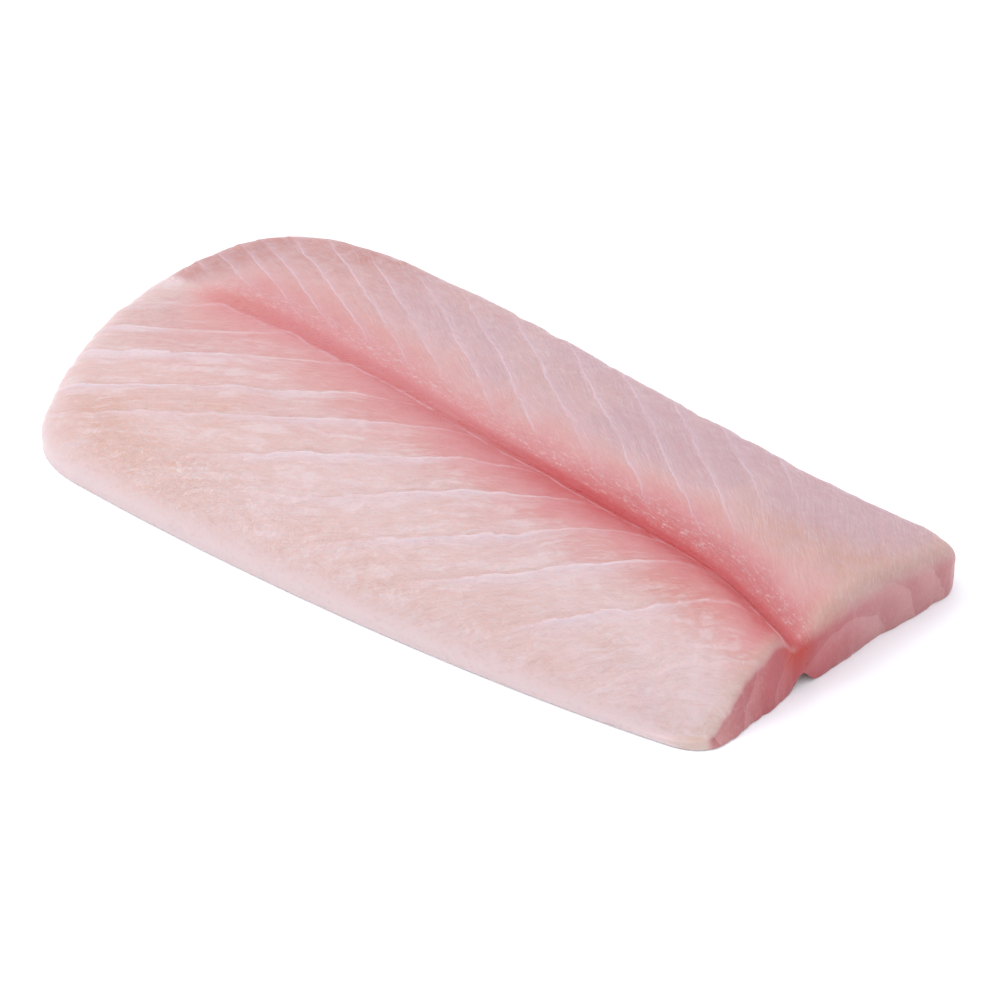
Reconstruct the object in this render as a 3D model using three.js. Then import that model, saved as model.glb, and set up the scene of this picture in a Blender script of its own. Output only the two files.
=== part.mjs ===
// A raw, skinless mahi-mahi fillet, cut square at the tail and rounded at the head.
// It lies on the side that carried the skin. Millimetres, +Z up, +X from the head end
// to the tail cut, +Y from the thin belly edge to the back edge of the fish.
// The origin is on the floor under the middle of the fillet.

import * as THREE from 'three';

// ---------------------------------------------------------------- driving dimensions

// Seven cross-sections, from the head end to the tail cut.
const STATIONS = [-150, -100, -50, 0, 50, 100, 150];
// The groove of the lateral line: its place across the fillet and the height of its floor.
const GROOVE_Y = [20, 19, 14.3, 7, 0.6, -7.5, -30];
const GROOVE_Z = [13.5, 16.5, 17, 16.5, 15.5, 14.8, 15];
// The two lobes beside it: how high each is at its crest and where its edge rounds over.
const BELLY_CREST = [14, 18, 20.5, 22, 22.5, 23.2, 23.8];
const BELLY_RIM = [11, 12, 12.5, 12, 10, 6, 2];
// The thin edge keeps at least these thicknesses, at its top and where its rounding ends.
const THINNEST_TOP = 3;
const THINNEST_WALL = 2.1;
const BACK_CREST = [14.5, 18.5, 21, 22, 23, 23.5, 23];
const BACK_RIM = [13, 15.5, 17, 17.5, 16.5, 15.5, 13];
// Width of the slope from the groove up to each lobe: it steepens towards the tail.
const BELLY_BANK = { head: 13, tail: 3.2 };
const BACK_BANK = { head: 15, tail: 8 };
// How far each edge lies from the line y = 0.
const BELLY_REACH = [78, 78, 79, 79, 77, 69, 46];
const BACK_REACH = [76, 73, 69, 66, 63, 59, 56];
// Where in its lobe a crest lies, as a share of the way from groove to edge, and how
// roundly the lobe falls from there: 1 is a straight slope, more is a round shoulder.
const BELLY_CREST_AT = { head: 0.3, tail: 0.15 };
const BACK_CREST_AT = { head: 0.36, tail: 0.36 };
const BELLY_SHOULDER = { head: 2, tail: 1.25 };
const BACK_SHOULDER = { head: 1.9, tail: 1.9 };

// The outline on the floor: one curve to a side and one to a corner.
const OUTLINE = {
  headBellyCorner: [[-128.5, -62], [-121, -76], [-98.5, -76.5]],
  belly: [[-98.5, -76.5], [-39.5, -79.7], [50.5, -78.5], [121, -65.6]],
  tailBellyCorner: [[121, -65.6], [131.8, -63.2], [133.4, -54.5]],
  tail: [[133.4, -54.5], [136.6, -36], [139.4, 3], [147.3, 32]],
  tailBackCorner: [[147.3, 32], [154.6, 54.2], [130, 52.2]],
  back: [[130, 52.2], [70, 47.5], [5.5, 72.2], [-84.5, 79.4]],
  headBackCorner: [[-84.5, 79.4], [-120.5, 82.4], [-149, 69], [-152, 26.8]],
  head: [[-152, 26.8], [-155, 2.8], [-146, -31.2], [-128.5, -62]],
};

// How each edge goes from the top to its wall: width of the rounding, and the share
// of the height that the rounding takes. The rest is a plain cut wall.
const HEAD_ROUND_WIDTH = 9;
const BELLY_ROUND_WIDTH = { head: 15, tail: 7 };
const BACK_ROUND_WIDTH = { head: 9, tail: 6 };
const ROUND_SHARE = { belly: 0.72, back: 0.42, head: 0.4 };
// The tail cut has a crisp rim on the belly lobe and a softer one on the back lobe.
const TAIL_ROUND_WIDTH = { belly: 4, back: 5.5 };
const TAIL_ROUND_SHARE = { belly: 0.16, back: 0.3 };
const TAIL_ROUND_CHANGE = 20;
const FOOT_WIDTH = 1.6;
const FOOT_HEIGHT = 1.5;
// The back, head and tail edges are slightly ragged, in nicks of this depth. The
// spacing of the nicks swings round its middle value over a longer distance. They are
// counted along a slanting line, so that they follow both the sides and the ends.
const NICK_DEPTH = 0.8;
const NICK_SPACING = 33;
const NICK_SLANT = 1.15;
const NICK_SWING = 11;
const NICK_SWING_LENGTH = 107;

// The cut at the tail: the belly lobe leans back, and the groove ends in a shallow hollow.
const BELLY_LEAN = 3;
const LEAN_STARTS = 8;
const LEAN_FULL = -10;
const HOLLOW_DEPTH = 1.6;
const HOLLOW_WIDTH = 8;
// Under the end of the groove the meat arches clear of the floor.
const ARCH_HEIGHT = 4.5;
const ARCH_WIDTH = 3.5;
const ARCH_SHIFT = 3;
const ARCH_ENDS = 137;
const ARCH_LENGTH = 16;

// Flakes: the seams between them sweep back towards the head on both lobes.
// Each number is where the line of one seam meets the groove.
const BELLY_SEAMS = [-150, -121, -93, -64, -39, -8, 13, 38, 60, 83, 101, 121, 142, 163];
const BACK_SEAMS = [-138, -118, -100, -82, -66, -47, -28, -10, 11, 30, 52, 74, 94, 112, 130, 150];
const SWEEP_REACH = 90;
const BELLY_SWEEP = { head: 216, tail: 66 };
const BACK_SWEEP = { head: 217, tail: 126 };
// Close to the groove a seam of the belly lobe turns more steeply to it at the head end
// and trails along it at the tail.
const BELLY_TRAIL = { head: -30, tail: 20 };
const BACK_TRAIL = { head: 0, tail: 0 };
const TRAIL_REACH = 10;
// A seam wanders to both sides of its line, in a long wave that bends and a short one.
const SEAM_WANDER = 0.6;
const SEAM_LONG_WAVE = 50;
const SEAM_BEND = 9;
const SEAM_BEND_LENGTH = 57;
const SEAM_SHORT_WAVE = 31;
const SEAM_SHORT_SHARE = 0.7;
// Height of the step at a seam, the share of a flake that it rises over, how hollow the
// flake is behind it (1 is straight), and the distance from the groove over which the
// steps grow to that height.
const BELLY_STEP = 1;
const BACK_STEP = 0.4;
const STEP_RISE = 0.25;
const STEP_HOLLOW = 1.3;
const STEP_GROWS = 25;
// Broad soft lumps in the flesh, laid slantwise.
const LUMP_HEIGHT = 0.35;
const LUMP_LENGTH = 145;
const LUMP_BREADTH = 105;
const LUMP_BEND = 46;
const LUMP_BEND_LENGTH = 195;

// How finely the surface is divided. The underside is four times coarser, but for
// one fine row round its edge, and its grid starts further in.
const ALONG = 84;
const ACROSS_BELLY = 24;
const ACROSS_BACK = 20;
const ROUNDING_ROWS = 4;
const COARSER = 4;
const UNDER_ROW = 7;
const UNDER_GRID = 14;
const SIDE_SAMPLES = 120;

const FLESH = new THREE.MeshStandardMaterial({ color: 0xe2bfc0, roughness: 0.35, metalness: 0 });

// ---------------------------------------------------------------- small helpers

const clamp01 = (t) => Math.min(1, Math.max(0, t));
const mix = (a, b, t) => a + (b - a) * t;
const smooth = (from, to, x) => {
  const t = clamp01((x - from) / (to - from));
  return t * t * (3 - 2 * t);
};
const wave = (distance, length) => Math.sin(2 * Math.PI * distance / length);
// Share of the length, 0 at the head end and 1 at the tail cut.
const lengthShare = (x) => clamp01((x - STATIONS[0]) / (STATIONS.at(-1) - STATIONS[0]));
// A size that changes evenly from the head end to the tail cut.
const taper = (size, x) => mix(size.head, size.tail, lengthShare(x));

// A smooth curve through one value at each cross-section (Catmull-Rom).
function fair(row, x) {
  const last = row.length - 1;
  const place = lengthShare(x) * last;
  const i = Math.min(Math.floor(place), last - 1);
  const t = place - i;
  const before = i > 0 ? row[i - 1] : 2 * row[0] - row[1];
  const after = i < last - 1 ? row[i + 2] : 2 * row[last] - row[last - 1];
  const [b, c] = [row[i], row[i + 1]];
  return b + 0.5 * t * (c - before + t * (2 * before - 5 * b + 4 * c - after
    + t * (3 * (b - c) + after - before)));
}

// ---------------------------------------------------------------- relief of the flesh

// Which flake a point lies in, as a number that grows by one from seam to seam.
// s is the distance from the groove; the seams sweep towards the head as it grows.
function flakeNumber(x, s, { seams, sweep, trail }) {
  const long = wave(x + SEAM_BEND * wave(s, SEAM_BEND_LENGTH), SEAM_LONG_WAVE);
  const short = wave(s + x / 4, SEAM_SHORT_WAVE);
  const wander = SEAM_WANDER * (long + SEAM_SHORT_SHARE * short);
  const swept = x + wander + taper(sweep, x) * Math.log1p(s / SWEEP_REACH)
    - taper(trail, x) * Math.exp(-s / TRAIL_REACH);
  let k = 0;
  while (k < seams.length - 2 && swept > seams[k + 1]) k += 1;
  return k + (swept - seams[k]) / (seams[k + 1] - seams[k]);
}

// Each flake starts proud at its seam and thins out under the next one.
function flakeStep(number) {
  const t = number - Math.floor(number);
  const thin = 1 - STEP_RISE;
  return t > thin ? smooth(thin, 1, t) : (1 - t / thin) ** STEP_HOLLOW;
}

// Soft lumps between -1.5 and 1.5.
function lumps(x, y) {
  const bend = LUMP_BEND * wave(y, LUMP_BEND_LENGTH);
  return wave(x + bend, LUMP_LENGTH) * wave(y + x / 3, LUMP_BREADTH) + 0.5 * wave(x - y, LUMP_LENGTH / 2);
}

// ---------------------------------------------------------------- heights

const BELLY_LOBE = {
  crest: BELLY_CREST, rim: BELLY_RIM, bank: BELLY_BANK, reach: BELLY_REACH, crestAt: BELLY_CREST_AT,
  shoulder: BELLY_SHOULDER, seams: BELLY_SEAMS, sweep: BELLY_SWEEP, trail: BELLY_TRAIL,
  step: BELLY_STEP, side: -1,
};
const BACK_LOBE = {
  crest: BACK_CREST, rim: BACK_RIM, bank: BACK_BANK, reach: BACK_REACH, crestAt: BACK_CREST_AT,
  shoulder: BACK_SHOULDER, seams: BACK_SEAMS, sweep: BACK_SWEEP, trail: BACK_TRAIL,
  step: BACK_STEP, side: 1,
};

// Height of the upper surface. A lobe climbs from the floor of the groove to its
// crest, and beyond the crest it falls away to the rim.
function topHeight(x, y) {
  const groove = fair(GROOVE_Y, x);
  const s = Math.abs(y - groove);
  const lobe = y < groove ? BELLY_LOBE : BACK_LOBE;
  const floor = fair(GROOVE_Z, x);
  const crest = fair(lobe.crest, x);
  const across = s / (fair(lobe.reach, x) - lobe.side * groove);
  const crestAt = taper(lobe.crestAt, x);
  const climb = 1 - Math.exp(-s / taper(lobe.bank, x));
  const fall = Math.max(0, (across - crestAt) / (1 - crestAt)) ** taper(lobe.shoulder, x);
  const number = flakeNumber(x, s, lobe);
  const relief = lobe.step * flakeStep(number) + LUMP_HEIGHT * lumps(x, y);
  const height = floor + (crest - floor) * climb - (crest - fair(lobe.rim, x)) * fall
    + relief * smooth(0, STEP_GROWS, s);
  return Math.max(THINNEST_TOP, height);
}

// Height of the underside: flat, but for the arch at the tail end of the groove.
function undersideHeight(x, y) {
  const s = (y - fair(GROOVE_Y, x) - ARCH_SHIFT) / ARCH_WIDTH;
  return ARCH_HEIGHT * Math.exp(-s * s) * smooth(ARCH_ENDS - ARCH_LENGTH, ARCH_ENDS, x);
}

// ---------------------------------------------------------------- outline

function curvePoints(name, from = 0, to = 1) {
  const corners = OUTLINE[name].map(([x, y]) => new THREE.Vector2(x, y));
  const curve = corners.length === 3
    ? new THREE.QuadraticBezierCurve(...corners)
    : new THREE.CubicBezierCurve(...corners);
  const points = [];
  for (let i = 0; i <= SIDE_SAMPLES; i += 1) {
    points.push(curve.getPoint(mix(from, to, i / SIDE_SAMPLES)));
  }
  return points;
}

// A side runs from the middle of one corner to the middle of the next.
function side(cornerBefore, name, cornerAfter) {
  return [...curvePoints(cornerBefore, 0.5, 1), ...curvePoints(name).slice(1),
    ...curvePoints(cornerAfter, 0, 0.5).slice(1)];
}

// A function that gives the point at a share of a polyline's length, and that length's steps.
function measured(points) {
  const reach = [0];
  for (let i = 1; i < points.length; i += 1) {
    reach.push(reach[i - 1] + points[i].distanceTo(points[i - 1]));
  }
  const total = reach.at(-1);
  const at = (share) => {
    const want = share * total;
    let i = 1;
    while (i < points.length - 1 && reach[i] < want) i += 1;
    const t = (want - reach[i - 1]) / (reach[i] - reach[i - 1]);
    return points[i - 1].clone().lerp(points[i], t);
  };
  return { at, shareWhere: (test) => reach[points.findIndex(test)] / total };
}

const bellySide = measured(side('headBellyCorner', 'belly', 'tailBellyCorner'));
const tailSide = measured(side('tailBellyCorner', 'tail', 'tailBackCorner'));
const backSide = measured(side('tailBackCorner', 'back', 'headBackCorner').reverse());
const headSide = measured(side('headBackCorner', 'head', 'headBellyCorner').reverse());

// Divisions of an end, so that one of them falls on the groove.
function endDivisions(end) {
  const grooveShare = end.shareWhere((p) => p.y > fair(GROOVE_Y, p.x));
  const shares = [];
  for (let j = 0; j <= ACROSS_BELLY; j += 1) shares.push(grooveShare * j / ACROSS_BELLY);
  for (let j = 1; j <= ACROSS_BACK; j += 1) shares.push(mix(grooveShare, 1, j / ACROSS_BACK));
  return shares.map(end.at);
}

const ACROSS = ACROSS_BELLY + ACROSS_BACK;
const alongShares = Array.from({ length: ALONG + 1 }, (_, i) => i / ALONG);

// The whole outline as one loop, anticlockwise from the head end of the belly side.
const outline = [
  ...alongShares.map(bellySide.at),
  ...endDivisions(tailSide).slice(1),
  ...alongShares.map(backSide.at).reverse().slice(1),
  ...endDivisions(headSide).reverse().slice(1, -1),
];

// What the edge does at each point of the loop. The outward direction says which
// sides the point belongs to, and in what shares.
const edges = outline.map((point, i) => {
  const before = outline.at(i - 1);
  const after = outline[(i + 1) % outline.length];
  const out = new THREE.Vector2(after.y - before.y, before.x - after.x).normalize();
  const shares = {
    belly: Math.max(0, -out.y) ** 2,
    tail: Math.max(0, out.x) ** 2,
    back: Math.max(0, out.y) ** 2,
    head: Math.max(0, -out.x) ** 2,
  };
  const blend = (sizes) => Object.keys(shares).reduce((sum, key) => sum + shares[key] * sizes[key], 0);
  const s = point.y - fair(GROOVE_Y, point.x);
  const hollow = shares.tail * Math.exp(-((s / HOLLOW_WIDTH) ** 2));
  const along = point.x - NICK_SLANT * point.y;
  const swing = NICK_SWING * wave(along, NICK_SWING_LENGTH);
  const ragged = (0.5 + 0.5 * wave(along + swing, NICK_SPACING)) ** 3;
  const nick = NICK_DEPTH * ragged * (1 - shares.belly);
  const onBack = smooth(0, TAIL_ROUND_CHANGE, s);
  const tailWidth = mix(TAIL_ROUND_WIDTH.belly, TAIL_ROUND_WIDTH.back, onBack);
  const tailShare = mix(TAIL_ROUND_SHARE.belly, TAIL_ROUND_SHARE.back, onBack);
  const widths = {
    belly: taper(BELLY_ROUND_WIDTH, point.x),
    tail: tailWidth,
    back: taper(BACK_ROUND_WIDTH, point.x),
    head: HEAD_ROUND_WIDTH,
  };
  return {
    out,
    point: point.clone().addScaledVector(out, -HOLLOW_DEPTH * hollow - nick),
    width: blend(widths),
    share: blend({ ...ROUND_SHARE, tail: tailShare }),
    lean: BELLY_LEAN * shares.tail * smooth(LEAN_STARTS, LEAN_FULL, s),
  };
});

// ---------------------------------------------------------------- the closed surface

// Fills a loop with a grid of points. A border point is the outline moved inwards, and
// an inner point blends its two side points and its two end points.
function gridInside(loop, along, across) {
  const [n, m] = [along, across];
  const belly = (i) => loop[i];
  const tail = (j) => loop[n + j];
  const back = (i) => loop[n + m + (n - i)];
  const head = (j) => loop[(2 * n + 2 * m - j) % loop.length];
  const rows = [];
  for (let i = 0; i <= n; i += 1) {
    const u = i / n;
    const row = [];
    for (let j = 0; j <= m; j += 1) {
      const v = j / m;
      const blend = (axis) => mix(belly(i)[axis], back(i)[axis], v) + mix(head(j)[axis], tail(j)[axis], u)
        - mix(mix(head(0)[axis], tail(0)[axis], u), mix(head(m)[axis], tail(m)[axis], u), v);
      row.push(new THREE.Vector2(blend('x'), blend('y')));
    }
    rows.push(row);
  }
  return rows;
}

// Slides each line across the fillet until its middle division lies on the groove.
function slideToGroove(rows, middle) {
  for (const row of rows) {
    const [first, last] = [row[0].y, row.at(-1).y];
    const now = row[middle].y;
    const want = fair(GROOVE_Y, row[middle].x);
    row.forEach((p, j) => {
      p.y = j <= middle
        ? first + (p.y - first) * (want - first) / (now - first)
        : last + (p.y - last) * (want - last) / (now - last);
    });
  }
}

const vertices = [];
const triangles = [];

function addVertex(x, y, z) {
  vertices.push(x, y, z);
  return vertices.length / 3 - 1;
}

// Two triangles over four corners that go round anticlockwise as seen from outside.
function addQuad(a, b, c, d) {
  triangles.push(a, b, c, a, c, d);
}

// The border of a grid of vertex numbers, in the order of the outline.
function borderOf(grid) {
  const [n, m] = [grid.length - 1, grid[0].length - 1];
  const loop = [];
  for (let i = 0; i < n; i += 1) loop.push(grid[i][0]);
  for (let j = 0; j < m; j += 1) loop.push(grid[n][j]);
  for (let i = n; i > 0; i -= 1) loop.push(grid[i][m]);
  for (let j = m; j > 0; j -= 1) loop.push(grid[0][j]);
  return loop;
}

function addTop() {
  const inset = edges.map((e) => e.point.clone().addScaledVector(e.out, -e.lean - e.width));
  const rows = gridInside(inset, ALONG, ACROSS);
  slideToGroove(rows, ACROSS_BELLY);
  const grid = rows.map((row) => row.map((p) => addVertex(p.x, p.y, topHeight(p.x, p.y))));
  for (let i = 0; i < ALONG; i += 1) {
    for (let j = 0; j < ACROSS; j += 1) {
      const corners = [grid[i][j], grid[i + 1][j], grid[i + 1][j + 1], grid[i][j + 1]];
      // The fold of each pair of triangles runs the way the seams do, but at the two
      // corners of the tail cut it runs into the corner.
      const inCorner = i === ALONG - 1 && (j === 0 || j === ACROSS - 1);
      if ((j >= ACROSS_BELLY) !== inCorner) corners.push(corners.shift());
      addQuad(...corners);
    }
  }
  return borderOf(grid);
}

// One row of points round the fillet, moved inwards, at heights that a rule gives.
function addRow(inwards, height) {
  return edges.map((e) => {
    const p = e.point.clone().addScaledVector(e.out, -inwards(e));
    return addVertex(p.x, p.y, height(e, p));
  });
}

function joinRows(upper, lower) {
  upper.forEach((corner, i) => {
    const next = (i + 1) % upper.length;
    addQuad(corner, lower[i], lower[next], upper[next]);
  });
}

// The rounding of the rim, the cut wall below it and the small rounding of the foot.
function addEdge(topBorder) {
  let upper = topBorder;
  for (let k = 1; k <= ROUNDING_ROWS; k += 1) {
    const turn = (k / ROUNDING_ROWS) * (Math.PI / 2);
    const row = addRow(
      (e) => e.lean + e.width * (1 - Math.sin(turn)),
      (e, p) => {
        const top = topHeight(p.x, p.y);
        return mix(Math.max(THINNEST_WALL, top * (1 - e.share)), top, Math.cos(turn));
      },
    );
    joinRows(upper, row);
    upper = row;
  }
  const wallFoot = addRow(() => 0, (e, p) => undersideHeight(p.x, p.y) + FOOT_HEIGHT);
  joinRows(upper, wallFoot);
  const foot = addRow(() => FOOT_WIDTH, (e, p) => undersideHeight(p.x, p.y));
  joinRows(wallFoot, foot);
  const underRow = addRow(() => UNDER_ROW, (e, p) => undersideHeight(p.x, p.y));
  joinRows(foot, underRow);
  return underRow;
}

// The underside is a coarser grid, joined to the fine row round it by a ring of fans.
function addUnderside(fineRow) {
  const coarse = edges.filter((_, i) => i % COARSER === 0)
    .map((e) => e.point.clone().addScaledVector(e.out, -UNDER_GRID));
  const rows = gridInside(coarse, ALONG / COARSER, ACROSS / COARSER);
  const grid = rows.map((row) => row.map((p) => addVertex(p.x, p.y, undersideHeight(p.x, p.y))));
  for (let i = 0; i < grid.length - 1; i += 1) {
    for (let j = 0; j < grid[0].length - 1; j += 1) {
      addQuad(grid[i][j], grid[i][j + 1], grid[i + 1][j + 1], grid[i + 1][j]);
    }
  }
  const border = borderOf(grid);
  border.forEach((corner, i) => {
    const next = border[(i + 1) % border.length];
    const half = COARSER / 2;
    const from = i * COARSER;
    const outer = Array.from({ length: COARSER + 1 }, (_, k) => fineRow[(from + k) % fineRow.length]);
    for (let k = 0; k < half; k += 1) triangles.push(outer[k + 1], outer[k], corner);
    triangles.push(corner, next, outer[half]);
    for (let k = half; k < COARSER; k += 1) triangles.push(outer[k + 1], outer[k], next);
  });
}

function filletGeometry() {
  addUnderside(addEdge(addTop()));
  const geometry = new THREE.BufferGeometry();
  geometry.setAttribute('position', new THREE.Float32BufferAttribute(vertices, 3));
  geometry.setIndex(triangles);
  geometry.computeBoundingBox();
  const middle = geometry.boundingBox.getCenter(new THREE.Vector3());
  geometry.translate(-middle.x, -middle.y, -geometry.boundingBox.min.z);
  geometry.computeVertexNormals();
  return geometry;
}

const fillet = new THREE.Mesh(filletGeometry(), FLESH);
fillet.name = 'fillet';

const part = new THREE.Group();
part.add(fillet);

export default part;
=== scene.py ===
# %% [markdown]
# # A raw mahi-mahi fillet
#
# The object is one portion of skinless fish, about 30 cm long. It was cut square near the
# tail and rounded at the head end, and it lies on the side that carried the skin. A groove
# with a red line of dark muscle runs along it, between the thin belly lobe and the thick
# back lobe. Both lobes are built up from flakes, with thin pale seams between them.
#
# It could be sculpted by hand, or grown from a subdivided box. Here it is worked out with
# numpy as one closed surface, because the same few formulas then give the shape, the
# place of every seam and the places where the colour changes.

# %% Load the frame
import math

import bpy
import numpy as np
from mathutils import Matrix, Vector


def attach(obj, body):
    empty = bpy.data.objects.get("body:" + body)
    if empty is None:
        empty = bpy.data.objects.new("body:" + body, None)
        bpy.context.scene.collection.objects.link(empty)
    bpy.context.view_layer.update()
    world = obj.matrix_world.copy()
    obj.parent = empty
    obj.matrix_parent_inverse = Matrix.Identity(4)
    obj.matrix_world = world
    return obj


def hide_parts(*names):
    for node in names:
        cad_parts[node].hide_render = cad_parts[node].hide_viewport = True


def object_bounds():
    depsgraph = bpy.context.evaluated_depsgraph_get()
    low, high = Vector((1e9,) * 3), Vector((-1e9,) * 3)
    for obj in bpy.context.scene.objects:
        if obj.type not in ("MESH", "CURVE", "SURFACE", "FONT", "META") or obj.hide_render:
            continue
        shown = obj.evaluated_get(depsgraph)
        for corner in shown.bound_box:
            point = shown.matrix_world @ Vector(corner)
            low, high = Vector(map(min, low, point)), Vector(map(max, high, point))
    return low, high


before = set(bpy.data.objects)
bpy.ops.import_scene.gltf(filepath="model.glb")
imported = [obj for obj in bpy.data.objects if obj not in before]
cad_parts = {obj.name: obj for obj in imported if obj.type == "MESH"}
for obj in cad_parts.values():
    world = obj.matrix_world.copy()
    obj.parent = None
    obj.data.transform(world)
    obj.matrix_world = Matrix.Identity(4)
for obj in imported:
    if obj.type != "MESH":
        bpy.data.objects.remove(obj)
cad_low, cad_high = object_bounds()
MM = 0.001
print("CAD box in mm:", [round((high - low) / MM, 1) for low, high in zip(cad_low, cad_high)])

# %% [markdown]
# ## Curves and noise
#
# Flesh has no straight lines, so every size in this lesson is a smooth curve along the
# length. One curve through a few measured cross-sections is enough for each size. Small
# irregularities come from soft random hills, made from a fixed seed so that each run
# gives the same fillet. Blender's own noise could do that too, but only inside a
# material, and here the shape needs it as well.

# %% Helpers for smooth curves
LENGTH_FROM, LENGTH_TO = -150.0, 150.0


def mix(a, b, t):
    """The point a share t of the way from a to b."""
    return a + (b - a) * t


def smooth(start, end, x):
    """0 before start, 1 after end, and a soft S-curve 3t^2 - 2t^3 between them."""
    t = np.clip((x - start) / (end - start), 0, 1)
    return t * t * (3 - 2 * t)


def wave(distance, length):
    """A sine wave of the given length."""
    return np.sin(2 * np.pi * distance / length)


def length_share(x):
    """0 at the head end and 1 at the tail cut."""
    return np.clip((x - LENGTH_FROM) / (LENGTH_TO - LENGTH_FROM), 0, 1)


def taper(size, x):
    """A size that changes evenly from size[0] at the head end to size[1] at the tail."""
    return mix(size[0], size[1], length_share(x))


def fair(row, x):
    """A smooth curve through evenly spaced values (Catmull-Rom): each stretch is a cubic
    whose slope at a value is half the difference of that value's two neighbours."""
    row = np.asarray(row, float)
    place = length_share(x) * (len(row) - 1)
    i = np.minimum(place.astype(int), len(row) - 2)
    t = place - i
    longer = np.concatenate([[2 * row[0] - row[1]], row, [2 * row[-1] - row[-2]]])
    before, b, c, after = longer[i], longer[i + 1], longer[i + 2], longer[i + 3]
    bend = 2 * before - 5 * b + 4 * c - after + t * (3 * (b - c) + after - before)
    return b + 0.5 * t * (c - before + t * bend)


# %% Soft random hills
def hills(x, y, seed):
    """Smooth random heights from -1 to 1, one hill to a unit: random values on a square
    lattice, blended by S-curves between the four corners round a point."""
    lattice = np.random.default_rng(seed).uniform(-1, 1, (257, 257))
    i, j = np.floor(x).astype(int), np.floor(y).astype(int)
    s, t = smooth(0, 1, x - i), smooth(0, 1, y - j)
    i, j = i % 256, j % 256
    near = mix(lattice[i, j], lattice[i + 1, j], s)
    far = mix(lattice[i, j + 1], lattice[i + 1, j + 1], s)
    return mix(near, far, t)


walk = np.linspace(0, 40, 500)
walked = hills(walk, walk, 1)
print("hills reach from", walked.min().round(2), "to", walked.max().round(2))

# %% [markdown]
# ## The flakes
#
# Fish muscle is a stack of thin cones, one to a vertebra. A cut along the fish shows their
# edges as seams that sweep back from the groove towards the head. The seams could be
# drawn one by one, but a single running number is handier. It grows by one from seam to
# seam, so its whole part says which flake a point lies in, and its fraction says how far
# through the flake it is. The shape and the material both read it.

# %% Number the flakes
BELLY_SEAMS = [-150, -121, -93, -64, -39, -8, 13, 38, 60, 83, 101, 121, 142, 163]
BACK_SEAMS = [-138, -118, -100, -82, -66, -47, -28, -10, 11, 30, 52, 74, 94, 112, 130, 150]
SWEEP_REACH, TRAIL_REACH = 90, 10
SEAM_WANDER, LONG_WAVE, SHORT_WAVE = 0.6, 50, 31
WAVE_BEND, WAVE_BEND_LENGTH = 9, 57
SEAM_RIPPLE, RIPPLE_LENGTH, RIPPLE_WIDTH = 0.9, 9, 6


def flake_number(x, s, lobe):
    """Which flake a point lies in, where s is its distance from the groove. The point is
    carried back along its seam to the groove, by a logarithm of s, and the table of
    seams turns that place into a number. Close to the groove a seam of the belly lobe
    turns to it at the head end and trails along it at the tail, fading as e^(-s / 10).
    Long waves and small ripples keep the seams from running true."""
    long = wave(x + WAVE_BEND * wave(s, WAVE_BEND_LENGTH), LONG_WAVE)
    short = wave(s + x / 4, SHORT_WAVE)
    finer = 0.5 * hills(x / 4, s / 3, lobe["seed"] + 1)
    ripple = hills(x / RIPPLE_LENGTH, s / RIPPLE_WIDTH, lobe["seed"]) + finer
    wander = SEAM_WANDER * (long + 0.7 * short) + SEAM_RIPPLE * ripple
    swept = x + wander + taper(lobe["sweep"], x) * np.log1p(s / SWEEP_REACH)
    swept = swept - taper(lobe["trail"], x) * np.exp(-s / TRAIL_REACH)
    seams = np.asarray(lobe["seams"], float)
    k = np.clip(np.searchsorted(seams, swept) - 1, 0, len(seams) - 2)
    return k + (swept - seams[k]) / (seams[k + 1] - seams[k])


def flake_step(number, rise, hollow):
    """A sawtooth with a soft back: a flake starts proud at its seam, thins out under the
    next one along a power curve, and climbs to it over the share called rise."""
    t = number - np.floor(number)
    thin = 1 - rise
    return np.where(t > thin, smooth(thin, 1, t), np.maximum(0, 1 - t / thin) ** hollow)


# %% [markdown]
# ## The height of the top
#
# Seen from the tail, the top climbs steeply out of the groove to a crest on each side and
# falls away to the edges: gently on the thin belly side, roundly on the thick back. Each
# lobe is one formula of two parameters, the place along the fillet and the distance from
# the groove. A sculpted mesh would do, but the formula keeps the groove exactly on the
# line that the colours follow.

# %% Work out the height of the top
GROOVE_Y = [20, 19, 14.3, 7, 0.6, -7.5, -30]
GROOVE_Z = [13.5, 16.5, 17, 16.5, 15.5, 14.8, 15]
BELLY = dict(
    side=-1, crest=[14, 18, 20.5, 22, 22.5, 23.2, 23.8], rim=[11, 12, 12.5, 12, 10, 6, 2],
    bank=(13, 3.2), reach=[78, 78, 79, 79, 77, 69, 46], crest_at=(0.3, 0.15), shoulder=(2, 1.25),
    step=0.95, seams=BELLY_SEAMS, sweep=(216, 66), trail=(-30, 20), seed=11,
)
BACK = dict(
    side=1, crest=[14.5, 18.5, 21, 22, 23, 23.5, 23], rim=[13, 15.5, 17, 17.5, 16.5, 15.5, 13],
    bank=(15, 8), reach=[76, 73, 69, 66, 63, 59, 56], crest_at=(0.36, 0.36), shoulder=(1.9, 1.9),
    step=0.35, seams=BACK_SEAMS, sweep=(217, 126), trail=(0, 0), seed=23,
)
STEP_RISE, STEP_HOLLOW, STEP_GROWS = 0.1, 1.3, 25
SEAMS_FADE, STEP_LOST_AT_EDGE = (0.68, 0.9), 0.6
LUMP_HEIGHT, LUMP_LENGTHS, LUMP_BEND, LUMP_BEND_LENGTH = 0.35, (145, 105, 72.5), 46, 195
FIBRE_HEIGHT, FIBRE_SIZE, TUFT_SIZE, FIBRES_START = 0.12, (2.1, 1.3), (6, 4), (2, 7)
GROOVE_ROUND = 2.5
THINNEST_TOP, THINNEST_WALL = 3.0, 2.1


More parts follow.
